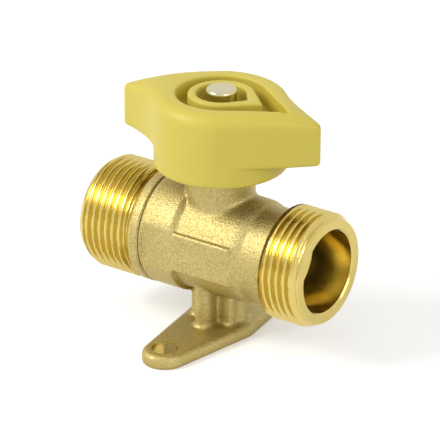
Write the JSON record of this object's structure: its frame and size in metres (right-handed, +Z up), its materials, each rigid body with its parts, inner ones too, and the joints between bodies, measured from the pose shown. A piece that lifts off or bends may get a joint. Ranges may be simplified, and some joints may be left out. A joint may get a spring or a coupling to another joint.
{
  "type": "butane gas ball valve",
  "caption": "Straight brass gas ball valve with male threaded ends, a yellow two-wing knob and a drilled foot for wall fixing.",
  "frame": {"origin": "on the flat base of the foot, straight under the stem axis", "axes": "+X along the pipe towards the body's own thread, +Z up the stem, +Y across the foot"},
  "size_m": [0.0604, 0.0534, 0.059],
  "materials": {
    "body": "forged and sand-blasted brass with a machined thread",
    "end_piece": "turned brass",
    "end_piece_o_ring": "nitrile rubber",
    "ball": "chromed and polished brass",
    "seat_ring_left": "PTFE",
    "seat_ring_right": "PTFE",
    "stem": "turned and polished brass",
    "stem_washer": "PTFE",
    "stem_o_ring_lower": "nitrile rubber",
    "stem_o_ring_upper": "nitrile rubber",
    "knob": "moulded yellow plastic with a satin surface"
  },
  "bodies": {
    "valve_body": {"body": "body", "end_piece": "end_piece", "end_piece_o_ring": "end_piece_o_ring", "seat_ring_left": "seat_ring_left", "seat_ring_right": "seat_ring_right", "stem_washer": "stem_washer"},
    "turning_group": {"knob": "knob", "stem": "stem", "ball": "ball", "stem_o_ring_lower": "stem_o_ring_lower", "stem_o_ring_upper": "stem_o_ring_upper"}
  },
  "joints": [
    {"name": "knob_turn", "type": "hinge", "parent": "valve_body", "child": "turning_group", "pos_m": [0, 0, 0.0219], "axis": [0, 0, 1], "range_deg": [-90, 0]}
  ]
}
